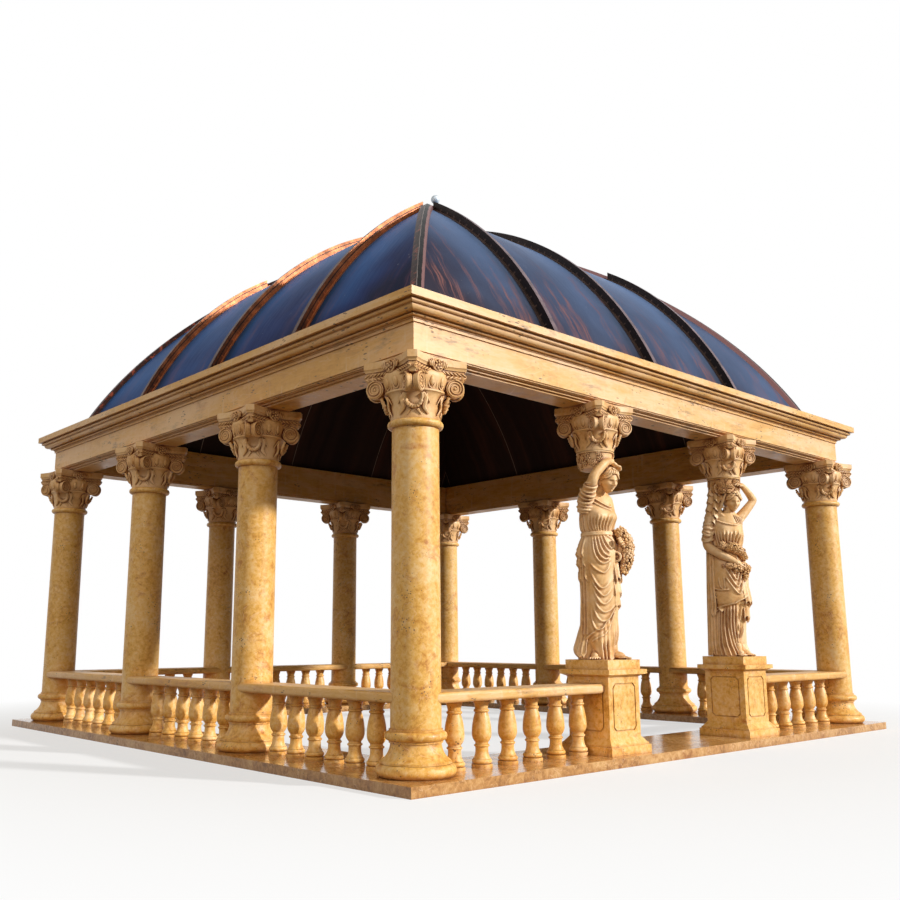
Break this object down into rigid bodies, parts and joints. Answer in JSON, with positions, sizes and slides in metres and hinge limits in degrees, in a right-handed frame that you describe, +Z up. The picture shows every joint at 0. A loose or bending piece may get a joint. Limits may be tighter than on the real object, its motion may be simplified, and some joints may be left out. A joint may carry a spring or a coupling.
{
  "type": "marble gazebo",
  "caption": "Square open marble gazebo with turned columns, carved capitals, two dressed figures on pedestals, balustrades, a moulded cornice and a ribbed copper vault roof.",
  "frame": {"origin": "middle of the underside of the floor slabs, on the ground", "axes": "+Z up; the entrance with the two figures faces -Y; +X is to the right of someone who faces the entrance from outside"},
  "size_m": [7.15, 7.15, 6.5995],
  "materials": {
    "honed_marble": "honed yellow marble, pitted and veined",
    "carved_marble": "carved yellow marble, dulled in its hollows",
    "polished_marble": "polished yellow marble",
    "roof_copper": "dark patinated copper sheet with brushed brown streaks",
    "rib_copper": "weathered brown copper"
  },
  "bodies": {
    "root": {"base_slab_front": "polished_marble", "base_slab_right": "polished_marble", "base_slab_back": "polished_marble", "base_slab_left": "polished_marble", "column_front_left": "honed_marble", "column_front_right": "honed_marble", "column_back_left": "honed_marble", "column_back_right": "honed_marble", "columns_right": "honed_marble", "columns_back": "honed_marble", "columns_left": "honed_marble", "capitals_front": "carved_marble", "capitals_right": "carved_marble", "capitals_back": "carved_marble", "capitals_left": "carved_marble", "pedestal_left": "honed_marble", "pedestal_right": "honed_marble", "figure_left": "carved_marble", "figure_right": "carved_marble", "handrail_front": "honed_marble", "handrail_right": "honed_marble", "handrail_back": "honed_marble", "handrail_left": "honed_marble", "balusters_front": "honed_marble", "balusters_right": "honed_marble", "balusters_back": "honed_marble", "balusters_left": "honed_marble", "beam_front": "honed_marble", "beam_right": "honed_marble", "beam_back": "honed_marble", "beam_left": "honed_marble", "cornice_front": "honed_marble", "cornice_right": "honed_marble", "cornice_back": "honed_marble", "cornice_left": "honed_marble", "roof_front": "roof_copper", "roof_right": "roof_copper", "roof_back": "roof_copper", "roof_left": "roof_copper", "roof_ribs_front": "rib_copper", "roof_ribs_right": "rib_copper", "roof_ribs_back": "rib_copper", "roof_ribs_left": "rib_copper", "roof_hips": "rib_copper", "finial": "honed_marble"}
  },
  "joints": []
}
